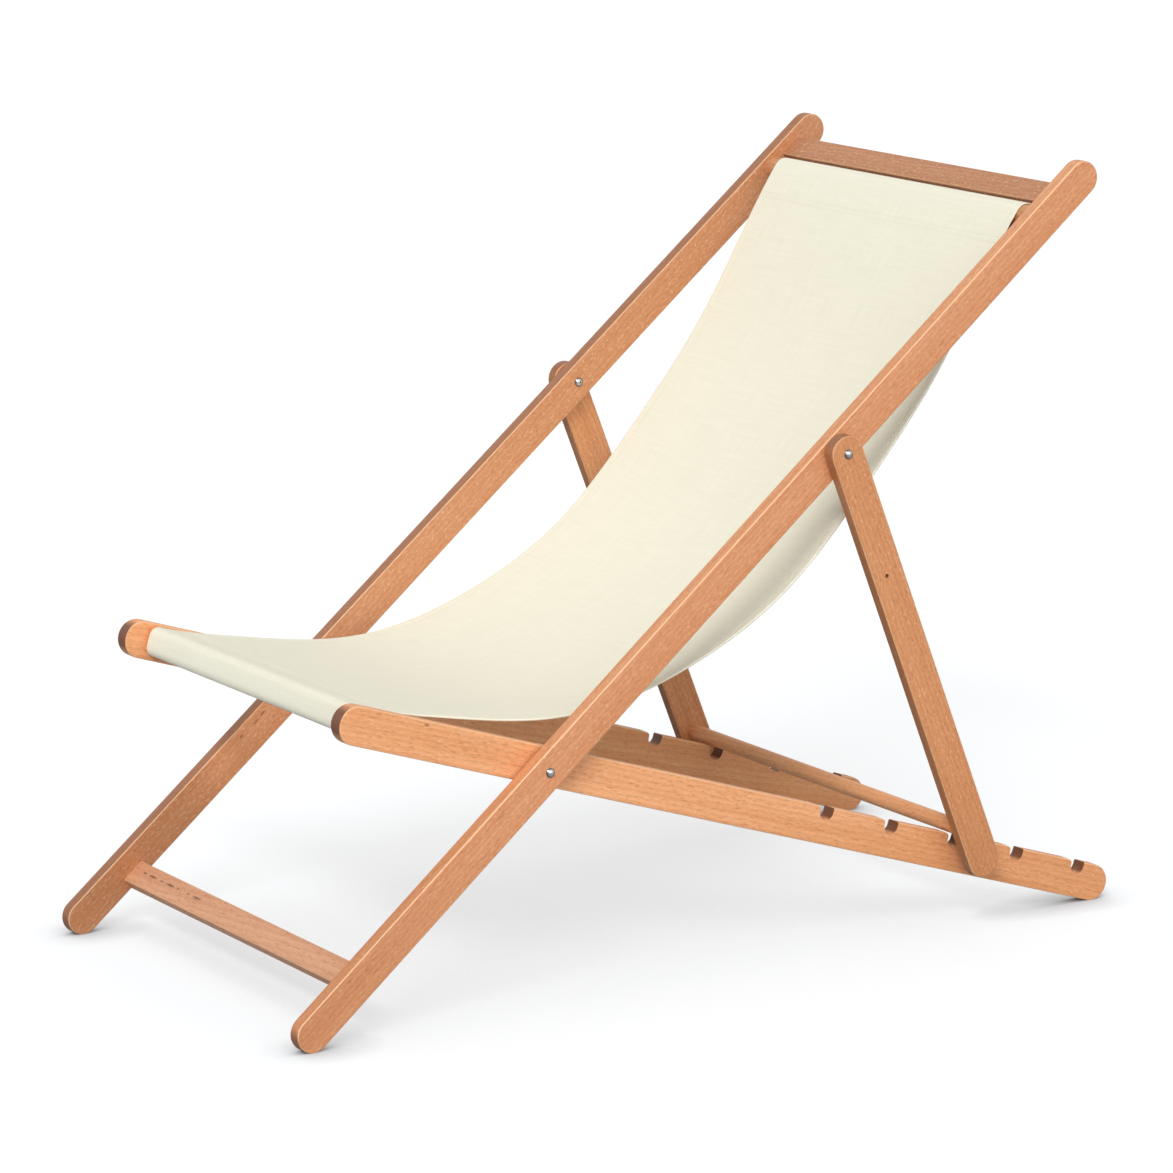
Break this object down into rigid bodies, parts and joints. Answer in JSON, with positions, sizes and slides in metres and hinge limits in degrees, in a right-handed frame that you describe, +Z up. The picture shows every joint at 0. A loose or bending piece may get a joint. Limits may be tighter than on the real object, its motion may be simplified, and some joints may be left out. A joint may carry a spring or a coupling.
{
  "type": "deck chair",
  "caption": "Folding wooden deck chair: long back rails, notched seat rails, a hinged prop with a cross bar and a canvas sling.",
  "frame": {"origin": "on the floor under the middle of the bounding box", "axes": "+Z up, the sitter faces -Y, +X is the sitter's left"},
  "size_m": [0.5848, 1.0762, 0.858],
  "materials": {
    "oiled_wood": "satin oil",
    "dowel_wood": "raw",
    "bright_steel": "polished",
    "spacer_plastic": "matt",
    "canvas": "woven"
  },
  "bodies": {
    "back_frame": {"long_rail_left": "oiled_wood", "long_rail_right": "oiled_wood", "head_rail": "oiled_wood", "head_rail_dowels": "dowel_wood", "sling_bar": "oiled_wood", "foot_rail": "oiled_wood", "foot_rail_dowels": "dowel_wood", "seat_pivot_sleeves": "bright_steel", "seat_pivot_screws": "bright_steel", "seat_pivot_spacers": "spacer_plastic", "prop_pivot_sleeves": "bright_steel", "prop_pivot_screws": "bright_steel", "prop_pivot_spacers": "spacer_plastic", "sling": "canvas"},
    "seat_frame": {"seat_rail_left": "oiled_wood", "seat_rail_right": "oiled_wood", "front_rail": "oiled_wood", "front_rail_dowels": "dowel_wood"},
    "prop_frame": {"prop_leg_left": "oiled_wood", "prop_leg_right": "oiled_wood", "prop_bar": "oiled_wood", "prop_bar_nails": "bright_steel"}
  },
  "joints": [
    {"name": "fold", "type": "hinge", "parent": "back_frame", "child": "seat_frame", "pos_m": [0, -0.22917, 0.2592], "axis": [1, 0, 0], "range_deg": [0, 57.7], "deforming": ["sling"]},
    {"name": "prop_swing", "type": "hinge", "parent": "back_frame", "child": "prop_frame", "pos_m": [0, 0.14014, 0.56581], "axis": [1, 0, 0], "range_deg": [0, 109.1]}
  ],
  "couplings": [
    {"joint": "prop_swing", "follows": "fold", "ratio": 1.89}
  ]
}
